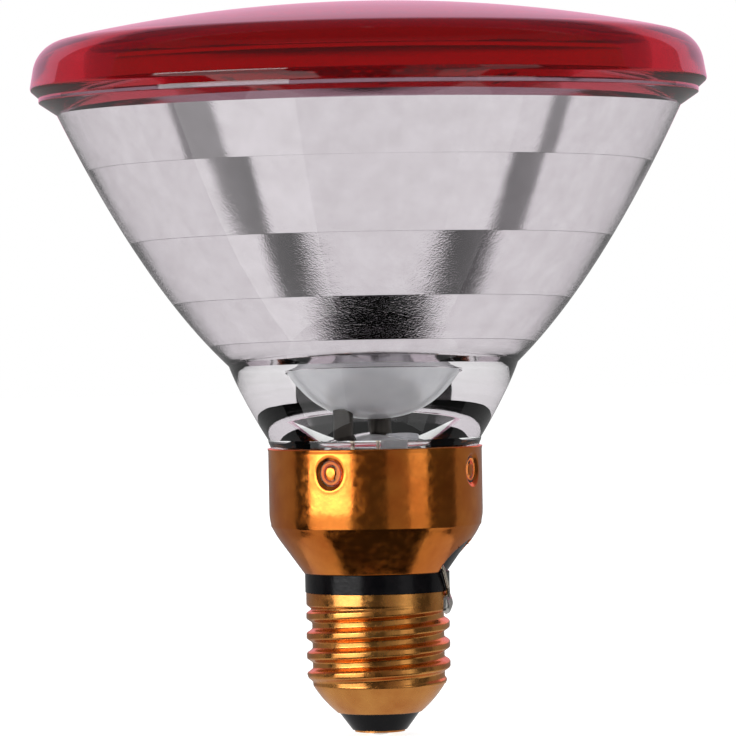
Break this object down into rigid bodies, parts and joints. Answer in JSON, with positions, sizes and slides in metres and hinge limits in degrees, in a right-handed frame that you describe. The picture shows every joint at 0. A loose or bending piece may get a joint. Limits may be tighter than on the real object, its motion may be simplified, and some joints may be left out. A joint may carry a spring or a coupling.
{
  "type": "infrared reflector lamp",
  "caption": "Infrared heat lamp with a red pressed front lens, a mirrored glass reflector and a brass screw cap.",
  "frame": {"origin": "tip of the centre contact's solder, on the lamp's axis", "axes": "+Z along the axis from the cap to the lens, -Y towards the viewer of the picture"},
  "size_m": [0.1234, 0.1234, 0.1334],
  "materials": {
    "red_glass": "ruby red pressed glass, smooth outside and stippled inside",
    "mirrored_glass": "clear pressed glass with a mirror coat on the bell's inside, clear at the neck",
    "clear_glass": "clear tube glass",
    "ferrule_metal": "dull drawn",
    "lead_wire": "drawn wire",
    "tungsten": "matt grey",
    "ceramic": "unglazed ceramic",
    "skirt_brass": "bright lacquered sheet",
    "black_moulding": "black moulded resin",
    "shell_brass": "bright rolled sheet",
    "black_glass": "black cast glass",
    "solder": "soft solder",
    "tinned_wire": "tinned copper",
    "glass_braid": "woven glass sleeve"
  },
  "bodies": {
    "root": {"front_lens": "red_glass", "reflector_glass": "mirrored_glass", "exhaust_tube": "clear_glass", "ferrule_left": "ferrule_metal", "ferrule_right": "ferrule_metal", "filament_lead_left": "lead_wire", "filament_lead_right": "lead_wire", "filament_coil": "tungsten", "filament_support": "lead_wire", "filament_bridge": "ceramic", "brass_skirt": "skirt_brass", "cap_insulator": "black_moulding", "screw_shell": "shell_brass", "contact_insulator": "black_glass", "centre_contact": "shell_brass", "centre_solder": "solder", "centre_wire": "tinned_wire", "wire_sleeve": "glass_braid", "side_wire": "tinned_wire", "side_solder": "solder"}
  },
  "joints": []
}
